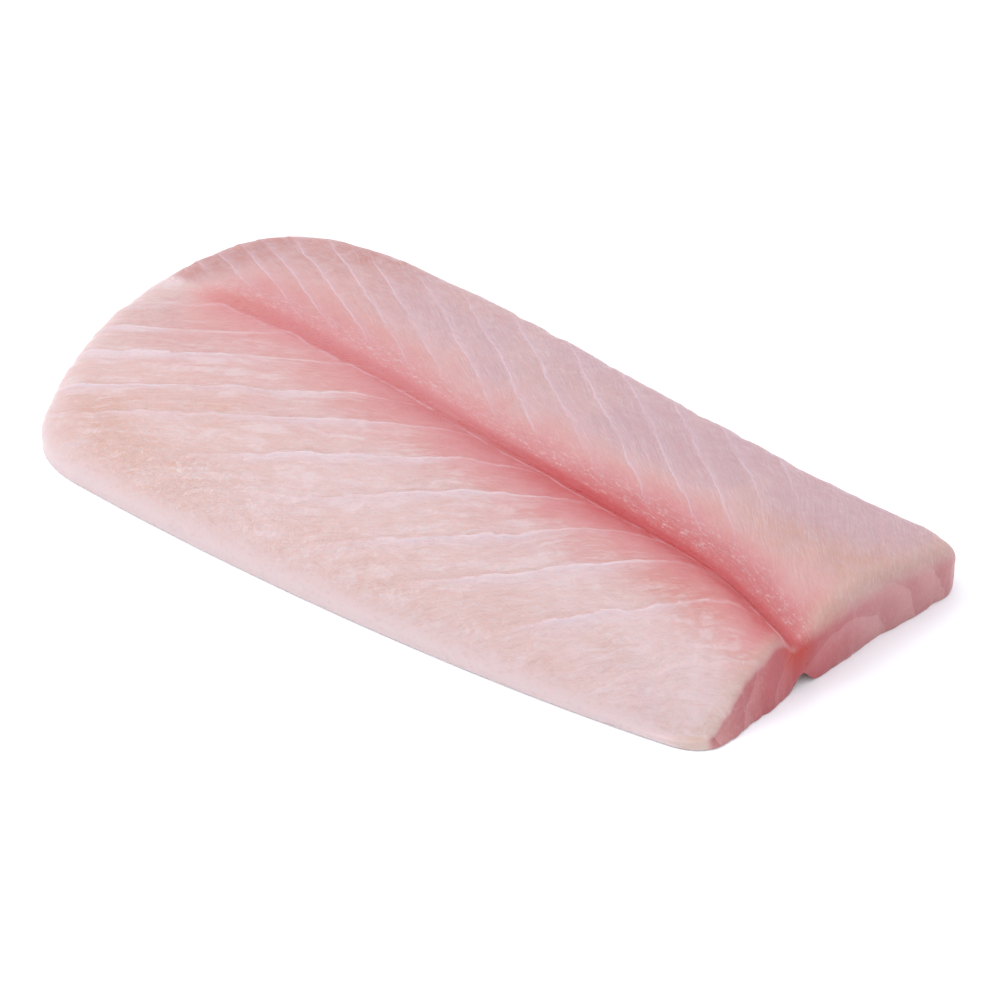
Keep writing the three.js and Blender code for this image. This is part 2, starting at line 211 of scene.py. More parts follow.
def lumps(x, y):
    """Broad soft lumps between -1.5 and 1.5: two crossed waves and a slanting one."""
    along, over, slanting = LUMP_LENGTHS
    bend = LUMP_BEND * wave(y, LUMP_BEND_LENGTH)
    return wave(x + bend, along) * wave(y + x / 3, over) + 0.5 * wave(x - y, slanting)


def fibre_tufts(x, y):
    """Fine random fibres and the larger tufts that they lie in."""
    fine = hills(x / FIBRE_SIZE[0], y / FIBRE_SIZE[1], 5)
    return fine + 0.6 * hills(x / TUFT_SIZE[0], y / TUFT_SIZE[1], 6)


def share_across(x, s, lobe):
    """How far from the groove a point lies on its lobe: 0 in the groove, 1 at the edge."""
    return s / (fair(lobe["reach"], x) - lobe["side"] * fair(GROOVE_Y, x))


def lobe_height(x, y, s, lobe):
    """The height of one lobe: the floor of the groove, plus a climb to the crest that
    levels off with distance, minus a fall to the rim that grows as a power of the share
    of the way past the crest, plus the steps of the flakes, soft lumps and fibres. The
    floor of the groove is rounded, with sqrt(s^2 + r^2) - r in place of s."""
    floor, crest, rim = fair(GROOVE_Z, x), fair(lobe["crest"], x), fair(lobe["rim"], x)
    across = share_across(x, s, lobe)
    crest_at = taper(lobe["crest_at"], x)
    rounded = np.hypot(s, GROOVE_ROUND) - GROOVE_ROUND
    climb = 1 - np.exp(-rounded / taper(lobe["bank"], x))
    fall = np.maximum(0, (across - crest_at) / (1 - crest_at)) ** taper(lobe["shoulder"], x)
    number = flake_number(x, s, lobe)
    step = lobe["step"] * (1 - STEP_LOST_AT_EDGE * smooth(*SEAMS_FADE, across))
    relief = step * flake_step(number, STEP_RISE, STEP_HOLLOW) + LUMP_HEIGHT * lumps(x, y)
    fibres = FIBRE_HEIGHT * fibre_tufts(x, y) * smooth(*FIBRES_START, s)
    relief = relief * smooth(0, STEP_GROWS, s) + fibres
    broad = floor + (crest - floor) * climb - (crest - rim) * fall
    return np.maximum(THINNEST_TOP, broad + relief)


def top_height(x, y):
    """The height of the belly lobe on one side of the groove and of the back lobe on the
    other. They meet in the groove, where both have the height of its floor."""
    away = y - fair(GROOVE_Y, x)
    s = np.abs(away)
    return np.where(away < 0, lobe_height(x, y, s, BELLY), lobe_height(x, y, s, BACK))


ARCH_HEIGHT, ARCH_WIDTH, ARCH_SHIFT, ARCH_FROM, ARCH_TO = 4.5, 3.5, 3, 121, 137


def underside_height(x, y):
    """Flat, but for a bell-shaped arch under the tail end of the groove."""
    s = (y - fair(GROOVE_Y, x) - ARCH_SHIFT) / ARCH_WIDTH
    return ARCH_HEIGHT * np.exp(-s * s) * smooth(ARCH_FROM, ARCH_TO, x)


groove_floor = fair(GROOVE_Z, np.array([-140.0, 0.0, 140.0]))
print("the floor of the groove is at", groove_floor.round(1), "mm")

# %% [markdown]
# ## The outline
#
# From above, the fillet is a long shield: nearly straight along belly and back, cut square
# near the tail and round at the head. Four side curves and four corner curves follow
# that. They are Bezier curves, because a few corner points then say where each one
# starts, which way it leaves and how full it is.

# %% Draw the outline on the floor
CURVE_POINTS = 121
OUTLINE = dict(
    head_belly=[(-128.5, -62), (-121, -76), (-98.5, -76.5)],
    belly=[(-98.5, -76.5), (-39.5, -79.7), (50.5, -78.5), (121, -65.6)],
    belly_tail=[(121, -65.6), (131.8, -63.2), (133.4, -54.5)],
    tail=[(133.4, -54.5), (136.6, -36), (139.4, 3), (147.3, 32)],
    tail_back=[(147.3, 32), (154.6, 54.2), (130, 52.2)],
    back=[(130, 52.2), (70, 47.5), (5.5, 72.2), (-84.5, 79.4)],
    back_head=[(-84.5, 79.4), (-120.5, 82.4), (-149, 69), (-152, 26.8)],
    head=[(-152, 26.8), (-155, 2.8), (-146, -31.2), (-128.5, -62)],
)


def curve(name, start=0.0, end=1.0):
    """Points along a Bezier curve: its corners, each weighted by the binomial share that
    it has at that place."""
    corners = np.array(OUTLINE[name], float)
    t = np.linspace(start, end, CURVE_POINTS)[:, None]
    order = len(corners) - 1
    weights = [math.comb(order, k) * (1 - t) ** (order - k) * t**k for k in range(order + 1)]
    return sum(weight * corner for weight, corner in zip(weights, corners))


def side(corner_before, name, corner_after):
    """A side, from the middle of one corner curve to the middle of the next."""
    half_before, half_after = curve(corner_before, 0.5), curve(corner_after, 0, 0.5)
    return np.concatenate([half_before, curve(name)[1:], half_after[1:]])


def reach_of(points):
    """The distance travelled along a line of points, from 0 to 1 in all."""
    reach = np.concatenate([[0], np.cumsum(np.hypot(*np.diff(points, axis=0).T))])
    return reach / reach[-1]


def spaced(points, shares):
    """The points at given shares of a line's length."""
    reach = reach_of(points)
    return np.stack([np.interp(shares, reach, points[:, axis]) for axis in (0, 1)], axis=-1)


belly_side = side("head_belly", "belly", "belly_tail")
tail_side = side("belly_tail", "tail", "tail_back")
back_side = side("tail_back", "back", "back_head")[::-1]
head_side = side("back_head", "head", "head_belly")[::-1]

# %% [markdown]
# ## The grid
#
# The two ends are divided so that one division falls on the groove. The grid inside is
# then blended from its four borders, as cloth is stretched in a frame, and each line
# across is slid along itself until its middle division lies on the groove. A plain grid
# trimmed to the outline would leave a ragged edge, and its lines would cut the groove.

# %% Divide the outline
ALONG, ACROSS_BELLY, ACROSS_BACK = 372, 104, 84
ACROSS = ACROSS_BELLY + ACROSS_BACK


def end_divisions(points):
    """Points of an end, evenly spaced on each side of the one in the groove."""
    past = np.argmax(points[:, 1] > fair(GROOVE_Y, points[:, 0]))
    middle = reach_of(points)[past]
    belly_shares = np.linspace(0, middle, ACROSS_BELLY + 1)
    back_shares = np.linspace(middle, 1, ACROSS_BACK + 1)
    return spaced(points, np.concatenate([belly_shares, back_shares[1:]]))


along_shares = np.linspace(0, 1, ALONG + 1)
outline = np.concatenate([
    spaced(belly_side, along_shares),
    end_divisions(tail_side)[1:],
    spaced(back_side, along_shares)[::-1][1:],
    end_divisions(head_side)[::-1][1:-1],
])
print("the outline has", len(outline), "points")

# %% [markdown]
# ## The edges
#
# Each side ends in its own way. The belly edge is thin and round, the back and head edges
# are soft shoulders over a low cut wall. The tail is a clean cut: the belly lobe leans
# back under a crisp rim, the groove ends in a shallow hollow, and the rim of the back
# lobe is softer. A row of bevels could do it, but it would break at the corners. The direction
# that a point of the outline faces says how much of each side it has, so a corner passes
# smoothly from one kind of edge to the next.

# %% Say what the edge does at each point of the outline
HEAD_ROUND_WIDTH = 9
BELLY_ROUND_WIDTH, BACK_ROUND_WIDTH = (15, 7), (9, 6)
ROUND_SHARE = dict(belly=0.72, back=0.42, head=0.4)
TAIL_ROUND_WIDTH, TAIL_ROUND_SHARE, TAIL_ROUND_CHANGE = (4, 5.5), (0.16, 0.3), 20
BELLY_LEAN, LEAN_FROM, LEAN_FULL = 3, 8, -10
HOLLOW_DEPTH, HOLLOW_WIDTH = 1.6, 8
NICK_DEPTH, NICK_SPACING, NICK_DRIFT, NICK_SLANT = 0.8, 33, 107, 1.15
RAGGED_DEPTH, RAGGED_SIZE = 0.22, (2.5, 9)
EDGE_SOFTENING = 8


def softened(loop, reach):
    """A closed row of values, each averaged with its neighbours by a bell-shaped weight."""
    steps = np.fft.fftfreq(len(loop))
    bell = np.exp(-2 * (np.pi * steps * reach) ** 2)
    return np.real(np.fft.ifft(np.fft.fft(loop, axis=0) * bell[:, None], axis=0))


ahead, behind = np.roll(outline, -1, axis=0), np.roll(outline, 1, axis=0)
outward = np.stack([(ahead - behind)[:, 1], (behind - ahead)[:, 0]], axis=-1)
outward = softened(outward, EDGE_SOFTENING)
outward /= np.hypot(*outward.T)[:, None]
shares = dict(
    belly=np.maximum(0, -outward[:, 1]) ** 2, tail=np.maximum(0, outward[:, 0]) ** 2,
    back=np.maximum(0, outward[:, 1]) ** 2, head=np.maximum(0, -outward[:, 0]) ** 2,
)


def blend_sides(sizes):
    """The sum of each side's size times the share that a point has of that side."""
    return sum(shares[name] * size for name, size in sizes.items())


edge_x, edge_y = outline.T
edge_s = edge_y - fair(GROOVE_Y, edge_x)
hollow = shares["tail"] * np.exp(-((edge_s / HOLLOW_WIDTH) ** 2))
slant = edge_x - NICK_SLANT * edge_y
drifting = slant + NICK_SPACING / 3 * wave(slant, NICK_DRIFT)
bites = NICK_DEPTH * (0.5 + 0.5 * wave(drifting, NICK_SPACING)) ** 3
ragged = RAGGED_DEPTH * hills(slant / RAGGED_SIZE[0], edge_y / RAGGED_SIZE[1], 3)
nicks = (bites + ragged) * (1 - shares["belly"])
on_back = smooth(0, TAIL_ROUND_CHANGE, edge_s)
round_width = blend_sides(dict(
    belly=taper(BELLY_ROUND_WIDTH, edge_x), tail=mix(*TAIL_ROUND_WIDTH, on_back),
    back=taper(BACK_ROUND_WIDTH, edge_x), head=HEAD_ROUND_WIDTH,
))
round_share = blend_sides(ROUND_SHARE | dict(tail=mix(*TAIL_ROUND_SHARE, on_back)))
lean = BELLY_LEAN * shares["tail"] * smooth(LEAN_FROM, LEAN_FULL, edge_s)
rim_line = outline - outward * (HOLLOW_DEPTH * hollow + nicks)[:, None]
print("rounding is", round_width.min().round(1), "to", round_width.max().round(1), "mm wide")

# %% Fill the outline with a grid
def grid_inside(loop, along, across):
    """Fills a closed loop with a grid: each point blends its two side points and its two
    end points, less the blend of the four corners, which would count twice."""
    whole = np.concatenate([loop, loop[:1]])
    belly, tail = whole[:along + 1], whole[along:along + across + 1]
    back = whole[along + across:2 * along + across + 1][::-1]
    head = whole[2 * along + across:][::-1]
    u = np.linspace(0, 1, along + 1)[:, None, None]
    v = np.linspace(0, 1, across + 1)[None, :, None]
    sides = mix(belly[:, None], back[:, None], v) + mix(head[None], tail[None], u)
    return sides - mix(mix(head[0], tail[0], u), mix(head[-1], tail[-1], u), v)


def slide_to_groove(rows, middle):
    """Stretches each line across, on both sides of its middle division, until that
    division lies on the groove. Its two ends stay where they are."""
    first, last, now = rows[:, :1, 1], rows[:, -1:, 1], rows[:, middle:middle + 1, 1]
    want = fair(GROOVE_Y, rows[:, middle:middle + 1, 0])
    y = rows[:, :, 1]
    belly_part = first + (y - first) * (want - first) / (now - first)
    back_part = last + (y - last) * (want - last) / (now - last)
    on_belly = np.arange(rows.shape[1])[None, :] <= middle
    return np.stack([rows[:, :, 0], np.where(on_belly, belly_part, back_part)], axis=-1)


inset = rim_line - outward * (lean + round_width)[:, None]
top_plan = slide_to_groove(grid_inside(inset, ALONG, ACROSS), ACROSS_BELLY)
top_z = top_height(top_plan[..., 0], top_plan[..., 1])
top_grid = np.concatenate([top_plan, top_z[..., None]], axis=-1)
print("the top is", top_z.min().round(1), "to", top_z.max().round(1), "mm high")

# %% [markdown]
# ## The rounding, the walls and the underside
#
# Below the top, the surface goes on in rows round the fillet: a quarter turn for the
# rounding, a wall, and a small turn at the foot. A bevel could round the rim, but its
# width would be the same all round. The underside is flat and hardly seen, so its grid is
# four times coarser, and fans of triangles join the two.

# %% Add the rows round the edge
ROUNDING_ROWS, WALL_ROWS, FOOT_ROWS = 8, 5, 2
FOOT_WIDTH, FOOT_HEIGHT = 0.6, 0.5
UNDER_ROW, UNDER_GRID, COARSER = 7, 14, 4
WALL_RIPPLE, WALL_RIPPLE_LENGTH, WALL_RIPPLES_DOWN = 0.25, 7, 3


def row_at(inwards, height):
    """One row round the fillet: the rim line moved inwards, at heights from a rule."""
    plan = rim_line - outward * np.broadcast_to(inwards, len(rim_line))[:, None]
    return np.concatenate([plan, height(plan[:, 0], plan[:, 1])[:, None]], axis=-1)


def rounding_row(k):
    """Row k of the rounding, a quarter of an ellipse from the top down to the wall."""
    turn = k / ROUNDING_ROWS * np.pi / 2
    inwards = lean + round_width * (1 - np.sin(turn))

    def height(x, y):
        top = top_height(x, y)
        return mix(np.maximum(THINNEST_WALL, top * (1 - round_share)), top, np.cos(turn))

    return row_at(inwards, height)


def wall_row(k):
    """Row k of the wall, straight down and outwards past the lean, with small ripples."""
    t = k / WALL_ROWS
    upper = rounding_row(ROUNDING_ROWS)[:, 2]
    ripples = hills(slant / WALL_RIPPLE_LENGTH, t * WALL_RIPPLES_DOWN + edge_y / 30, 8)
    bulge = 4 * t * (1 - t) * WALL_RIPPLE * ripples
    rule = lambda x, y: mix(upper, underside_height(x, y) + FOOT_HEIGHT, t)
    return row_at(lean * (1 - t) - bulge, rule)


def foot_row(k):
    """Row k of the foot, a small quarter turn from the wall under the fillet."""
    turn = k / FOOT_ROWS * np.pi / 2
    inwards = FOOT_WIDTH * (1 - np.cos(turn))
    return row_at(inwards, lambda x, y: underside_height(x, y) + FOOT_HEIGHT * (1 - np.sin(turn)))


rows = [rounding_row(k + 1) for k in range(ROUNDING_ROWS)]
rows += [wall_row(k + 1) for k in range(WALL_ROWS)]
rows += [foot_row(k + 1) for k in range(FOOT_ROWS)]
rows += [row_at(UNDER_ROW, underside_height)]
edge_rows = np.stack(rows)

coarse_loop = (rim_line - outward * UNDER_GRID)[::COARSER]
under_plan = grid_inside(coarse_loop, ALONG // COARSER, ACROSS // COARSER)
under_z = underside_height(under_plan[..., 0], under_plan[..., 1])
under_grid = np.concatenate([under_plan, under_z[..., None]], axis=-1)
print("rows round the edge:", len(edge_rows), " underside grid:", under_grid.shape[:2])

# %% Join the points with triangles
def numbered(grid, first):
    """The numbers of a grid's points, counted on from the first."""
    return first + np.arange(grid[..., 0].size).reshape(grid.shape[:2])


top_numbers = numbered(top_grid, 0)
edge_numbers = numbered(edge_rows, top_numbers.size)
under_numbers = numbered(under_grid, top_numbers.size + edge_numbers.size)


def border_of(numbers):
    """The border of a grid of point numbers, in the order of the outline."""
    first_two = [numbers[:-1, 0], numbers[-1, :-1]]
    return np.concatenate(first_two + [numbers[:0:-1, -1], numbers[0, :0:-1]])


def quads(a, b, c, d):
    """Two triangles over every four corners that go round anticlockwise from outside."""
    a, b, c, d = (corner.ravel() for corner in (a, b, c, d))
    return np.concatenate([np.stack([a, b, c], -1), np.stack([a, c, d], -1)])


def grid_quads(numbers):
    """Triangles over a grid whose outside is the side it is seen from above."""
    return quads(numbers[:-1, :-1], numbers[1:, :-1], numbers[1:, 1:], numbers[:-1, 1:])


def other_fold(numbers):
    """The same triangles with the fold of each pair turned, to run as the seams do."""
    return quads(numbers[1:, :-1], numbers[1:, 1:], numbers[:-1, 1:], numbers[:-1, :-1])


def fans(fine, coarse):
    """Joins a fine loop to one with COARSER times fewer points: half of each stretch fans
    out from one coarse point and half from the next."""
    steps = np.arange(len(coarse))
    here, there = coarse, np.roll(coarse, -1)
    outer = [fine[(steps * COARSER + k) % len(fine)] for k in range(COARSER + 1)]
    hubs = [here if k < COARSER // 2 else there for k in range(COARSER)]
    parts = [np.stack([outer[k + 1], outer[k], hubs[k]], -1) for k in range(COARSER)]
    return np.concatenate(parts + [np.stack([here, there, outer[COARSER // 2]], -1)])


upper_rows = np.concatenate([border_of(top_numbers)[None], edge_numbers[:-1]])
triangles = np.concatenate([
    grid_quads(top_numbers[:, :ACROSS_BELLY + 1]),
    other_fold(top_numbers[:, ACROSS_BELLY:]),
    quads(upper_rows, edge_numbers, np.roll(edge_numbers, -1, 1), np.roll(upper_rows, -1, 1)),
    fans(edge_numbers[-1], border_of(under_numbers)),
    grid_quads(under_numbers)[:, ::-1],
])
points = np.concatenate([part.reshape(-1, 3) for part in (top_grid, edge_rows, under_grid)])
print("the flesh has", len(points), "points and", len(triangles), "triangles")

# %% [markdown]
# ## From numbers to a mesh
#
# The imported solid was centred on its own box, so the fine surface is centred on the same
# box before it becomes a mesh. Alongside the points go a few numbers for the material:
# the flake number of each lobe, the distance from the groove, and how far down the side
# or how far underneath a point lies. Three more say how plainly the lips and the pale
# bands of the belly seams and the threads of the back show there. A painted picture could
# carry the colours, but these numbers let the material draw a seam as sharp as the render
# needs.

# %% Build the mesh
def add_object(name, data):
    """A new object in the scene that holds a mesh, a lamp or a camera."""
    item = bpy.data.objects.new(name, data)
    bpy.context.scene.collection.objects.link(item)
    return item


def mesh_from(name, points, triangles):
    """A smooth-shaded mesh from an array of points in mm and one of triangles."""
    mesh = bpy.data.meshes.new(name)
    mesh.vertices.add(len(points))
    mesh.vertices.foreach_set("co", (points * MM).astype(np.float32).ravel())
    mesh.loops.add(triangles.size)
    mesh.loops.foreach_set("vertex_index", triangles.astype(np.int32).ravel())
    mesh.polygons.add(len(triangles))
    mesh.polygons.foreach_set("loop_start", np.arange(0, triangles.size, 3, dtype=np.int32))
    mesh.update(calc_edges=True)
    mesh.validate()
    mesh.shade_smooth()
    return mesh


box_middle = (points.min(0) + points.max(0)) / 2
cad_middle = np.array((cad_low + cad_high) / 2) / MM
shift = np.append((cad_middle - box_middle)[:2], -points[:, 2].min())
flesh_mesh = mesh_from("fillet_flesh", points + shift, triangles)
fillet_flesh = add_object("fillet_flesh", flesh_mesh)
print("moved by", shift.round(2), "mm to lie in the CAD box")


# %% Write the numbers that the material reads
def write_number(name, values):
    """Stores one number for each point of the flesh under a name."""
    numbers = flesh_mesh.attributes.new(name, "FLOAT", "POINT")
    numbers.data.foreach_set("value", np.asarray(values, np.float32).ravel())


def write_edge_number(name, edge_values, under_value):
    """Stores a number that is 0 on the top, given on the rows of the edge and the same
    all over the underside."""
    under = np.full(under_numbers.size, under_value)
    write_number(name, np.concatenate([np.zeros(top_numbers.size), edge_values.ravel(), under]))


LIPS_START, LIPS_GROW, LIP_AT_GROOVE = (2, 8), (10, 32), 0.35
BANDS_START, THREADS_START, THREADS_FADE = (14, 34), (4, 15), (1.05, 0.75)
SEAMS_STOP, BANDS_STOP, THREADS_STOP = (124, 108), (115, 85), (108, 78)
WALL_FROM, CUT_FROM = (0.3, 1), (0.35, 0.7)

x, y, z = points.T
away = y - fair(GROOVE_Y, x)
s = np.abs(away)
across = np.where(away < 0, share_across(x, s, BELLY), share_across(x, s, BACK))
row_share = np.minimum(1, (np.arange(len(edge_rows)) + 1) / ROUNDING_ROWS)
is_wall = np.repeat(smooth(*WALL_FROM, row_share)[:, None], len(outline), axis=1)
is_under = np.zeros(edge_rows.shape[:2])
is_under[ROUNDING_ROWS + WALL_ROWS + 1:] = 1
seams_end = smooth(SEAMS_FADE[1], SEAMS_FADE[0], across) * smooth(*SEAMS_STOP, x)
lips = mix(LIP_AT_GROOVE, 1, smooth(*LIPS_GROW, s)) * smooth(*LIPS_START, s)
threads = smooth(*THREADS_START, s) * smooth(*THREADS_FADE, across)
for name, values in dict(
    away_from_groove=away, height=z, along=x,
    belly_flake=flake_number(x, s, BELLY), back_flake=flake_number(x, s, BACK),
    lips=lips * seams_end, bands=smooth(*BANDS_START, s) * seams_end * smooth(*BANDS_STOP, x),
    threads=threads * smooth(*THREADS_STOP, x),
).items():
    write_number(name, values)
write_edge_number("wall", is_wall, 0.0)
write_edge_number("cut", is_wall * smooth(*CUT_FROM, shares["tail"])[None], 0.0)
write_edge_number("under", is_under, 1.0)
written = [item.name for item in flesh_mesh.attributes if item.data_type == "FLOAT"]
print("numbers on the points:", written)

# %% [markdown]
# ## Where the colours lie
#
# Raw mahi-mahi is pearly pink, but not evenly. The dark muscle in the groove is red, and
# its juice tints the flesh beside it, further out on the belly side than on the back. The
# thin belly edge is creamy, with a peach tinge at the head end. These broad changes
# follow the anatomy, so they too are written on the points by formula, while everything
# finer is left to the material.

# %% Write the blush round the groove
BLUSH_ALONG = [0.82, 0.86, 0.93, 0.9, 1.1, 1.07, 0.94]
BELLY_REACHES, BACK_REACHES = [30, 30, 26, 22, 18.5, 13.5, 10], [24, 24, 18, 15, 11.5, 12, 15]
BELLY_FULLNESS = [1, 1, 1.05, 1.25, 1.3, 1.2, 1.1]
BACK_FULLNESS = [1, 1, 1.05, 1.2, 1.35, 1.35, 1.3]
BELLY_LEVEL, BACK_LEVEL = [-5, -5, -5, -6.5, -7.2, -7.2, -7], [-3, -2.5, -3, -2, 1.3, 1.5, 1.5]
TIP_FROM, TIP_FULL = -146, -115
MEMBRANE_DROP, MEMBRANE_EDGE, MEMBRANE_FADE = 0.25, (-5.7, -7), (-20, -70)


def blush(x, away):
    """1 in the red line and fading away from it as exp(-(distance / reach) ^ fullness),
    with a curve along the length for the strength, the reach and the fullness. The line
    is level over a few millimetres, and in the head half the blush drops by a quarter
    past a membrane on its belly side. It ends before the head end."""
    wobble = 1 + 0.16 * hills(x / 15, away / 11, 31) + 0.1 * hills(x / 5, away / 5, 32)
    into_belly = np.maximum(0, fair(BELLY_LEVEL, x) - away) / (fair(BELLY_REACHES, x) * wobble)
    into_back = np.maximum(0, away - fair(BACK_LEVEL, x)) / (fair(BACK_REACHES, x) * wobble)
    drop = MEMBRANE_DROP * smooth(*MEMBRANE_EDGE, away) * smooth(*MEMBRANE_FADE, x)
    belly_side = np.exp(-into_belly ** fair(BELLY_FULLNESS, x)) * (1 - drop)
    back_side = np.exp(-into_back ** fair(BACK_FULLNESS, x))
    strength = fair(BLUSH_ALONG, x) * smooth(TIP_FROM, TIP_FULL, x)
    return strength * belly_side * back_side


# %% Write the darkest red and the rosy head end
DEEPEST, DEEPEST_SHIFTS, DEEP_WIDTH = (-2, -7), (48, 72), 3.2
DEEP_GROWS, DEEP_ENDS = (-60, 45), (141, 122)
ROSY_BACK_FROM, ROSY_BACK_EDGE = (-50, -100), (-3, 6)
ROSY_BELLY, ROSY_BELLY_FROM, ROSY_BELLY_TO = 0.8, (-75, -105), (-150, -124)
ROSY_BELLY_EDGE, ROSY_BELLY_END = (2, -6), (-48, -26)

redness = blush(x, away)
deepest = mix(*DEEPEST, smooth(*DEEPEST_SHIFTS, x))
deep = np.exp(-((away - deepest) / DEEP_WIDTH) ** 2)
rosy_back = smooth(*ROSY_BACK_FROM, x) * smooth(*ROSY_BACK_EDGE, away)
rosy_belly = ROSY_BELLY * smooth(*ROSY_BELLY_FROM, x) * smooth(*ROSY_BELLY_TO, x)
rosy_belly = rosy_belly * smooth(*ROSY_BELLY_EDGE, away) * smooth(*ROSY_BELLY_END, away)
write_number("blush", redness)
write_number("deep", deep * smooth(*DEEP_GROWS, x) * smooth(*DEEP_ENDS, x))
write_number("rosy", rosy_back + rosy_belly)
print("the blush reaches", redness.max().round(2))

# %% [markdown]
# ## Soft patches
#
# Smaller tints come and go without a border: peach at the head end, orange on the rim, a
# yellower back near the tail, a bruise beside the nick of the corner, chalky flesh on the
# belly, and the places where the surface is hairy with torn fibres. Each patch is a soft
# bell, wider one way than the other, and each tint adds up a few of them.

# %% Write the soft patches
PATCHES = dict(
    peach=[
        (1, -107, -54, 14, 12), (0.9, -84, -66, 26, 13), (0.5, -48, 62, 16, 10),
        (1, -82, -38, 34, 20), (0.5, -20, -58, 70, 18), (0.5, -130, 27, 12, 8),
        (0.4, -62, -34, 26, 14), (0.4, 38, -36, 26, 9),
    ],
    orange=[(1, -116, 19, 12, 5), (0.7, 98, -28, 16, 9), (1, 136, -10, 6, 5)],
    yellow=[
        (1.5, 104, 8, 18, 11), (1.5, 128, 3, 12, 13), (0.6, 146, 47, 9, 12),
        (0.7, 139, 20, 10, 13), (0.6, -108, -58, 14, 9),
    ],
    bruise=[(0.55, 93, -54, 7, 5), (1.5, 132.5, -56.5, 3, 2.5)],
    chalk=[
        (1, 96, -42, 24, 13), (1, 124, -54, 16, 10), (0.8, 64, -43, 20, 7),
        (0.7, -20, -50, 60, 16), (0.8, -80, -52, 22, 7),
    ],
    hairy=[(1, -70, -70, 45, 14), (0.5, 20, -75, 50, 12)],
)


def patch(strength, centre_x, centre_y, length, breadth):
    """A soft patch: its strength at the centre, fading as the bell curve e^(-r^2)."""
    return strength * np.exp(-((x - centre_x) / length) ** 2 - ((y - centre_y) / breadth) ** 2)


for name, patches in PATCHES.items():
    write_number(name, sum(patch(*sizes) for sizes in patches))
print("tints in patches:", ", ".join(PATCHES))

# %% Write the rim and the rings of the cut at the tail
RIM_WIDTH, RIM_STARTS = (10, 3), (2, 12)
RING_CENTRE_Y, RING_CENTRE_Z, RING_SPACING = -3, -9.3, 11

cut_line = tail_side[np.argsort(tail_side[:, 1])]
from_cut = np.interp(y, cut_line[:, 1], cut_line[:, 0]) - x
write_number("rim", smooth(*RIM_WIDTH, from_cut) * smooth(*RIM_STARTS, s))
ring = np.hypot(y - RING_CENTRE_Y, z - RING_CENTRE_Z) / RING_SPACING
write_number("ring", ring)
print("the rings reach number", ring.max().round(1))

# %% [markdown]
# ## The material
#
# One material covers the fillet, because it is one piece of flesh. Light goes some way
# into raw fish and comes out pink, so the material scatters it under the surface. On top
# of the broad colours it draws the pale seams, the lighter band behind each one, fine
# fibres and small specks of fat. It also paints some light and shade into the colour:
# painted highlights on the lips of the belly seams, painted shade before them, painted
# light on the belly wall and on the back bank of the groove, and painted wet glints among
# the torn fibres. It is all made of nodes, so that it stays sharp at any size. The nodes
# are added by small helpers that read like sentences.

# %% Helpers for nodes
flesh = bpy.data.materials.new("raw_mahi_flesh")
flesh.use_nodes = True
nodes, links = flesh.node_tree.nodes, flesh.node_tree.links
nodes.clear()

LIGHT_ON_TOP, GLOSS_SHARE = 1.46, 0.045


def colour(red, green, blue):
    """The colour that flesh must have to look like a screen colour of 0 to 255. The screen
    colour is made linear, the white gloss of the surface is taken off, and the rest is
    divided by the light that falls on the top."""
    parts = np.array([red, green, blue]) / 255
    linear = np.where(parts <= 0.04045, parts / 12.92, ((parts + 0.055) / 1.055) ** 2.4)
    return (*np.clip((linear - GLOSS_SHARE) / LIGHT_ON_TOP, 0, 1).tolist(), 1.0)


def feed(socket, value):
    """Links a socket if value is one, and otherwise sets its default."""
    if isinstance(value, bpy.types.NodeSocket):
        links.new(value, socket)
    else:
        socket.default_value = value


def fill_in(node, settings):
    """Feeds the inputs of a node that have the given names."""
    for name, value in settings.items():
        feed(node.inputs[name], value)


def number(name):
    """The number of that name written on the points."""
    node = nodes.new("ShaderNodeAttribute")
    node.attribute_name = name
    return node.outputs["Fac"]


def maths(operation, *values, clamp=False):
    """One step of arithmetic on numbers."""
    node = nodes.new("ShaderNodeMath")
    node.operation = operation
    node.use_clamp = clamp
    for socket, value in zip(node.inputs, values):
        feed(socket, value)
    return node.outputs[0]


def times(*values):
    """All the values multiplied together."""
    product = values[0]
    for value in values[1:]:
        product = maths("MULTIPLY", product, value)
    return product


def plus(*values):
    """All the values added together."""
    total = values[0]
    for value in values[1:]:
        total = maths("ADD", total, value)
    return total


def fade(value, start, end, low=0.0, high=1.0):
    """low up to start, high from end on, and a soft S-curve between them."""
    node = nodes.new("ShaderNodeMapRange")
    node.interpolation_type = "SMOOTHSTEP"
    fill_in(node, {
        "Value": value, "From Min": start, "From Max": end, "To Min": low, "To Max": high,
    })
    return node.outputs["Result"]


def blend_colours(amount, a, b, how="MIX"):
    """Colour b laid over colour a in the given amount, or multiplied into it."""
    node = nodes.new("ShaderNodeMix")
    node.data_type, node.blend_type = "RGBA", how
    node.clamp_factor = True
    feed(node.inputs[0], amount)
    feed(node.inputs[6], a)
    feed(node.inputs[7], b)
    return node.outputs[2]


def layered(base, *layers):
    """A base colour with others laid over it in turn, each in its own amount."""
    for amount, tint in layers:
        base = blend_colours(amount, base, tint)
    return base


def place(x, y, z=0.0):
    """Three numbers joined to a place where noise can be read."""
    node = nodes.new("ShaderNodeCombineXYZ")
    for socket, value in zip(node.inputs, (x, y, z)):
        feed(socket, value)
    return node.outputs[0]


def noise(where, scale, detail=2.0, roughness=0.5, twist=0.0):
    """Blender's soft noise, about 0.5, at a place."""
    node = nodes.new("ShaderNodeTexNoise")
    fill_in(node, dict(
        Vector=where, Scale=scale, Detail=detail, Roughness=roughness, Distortion=twist,
    ))
    return node.outputs["Fac"]


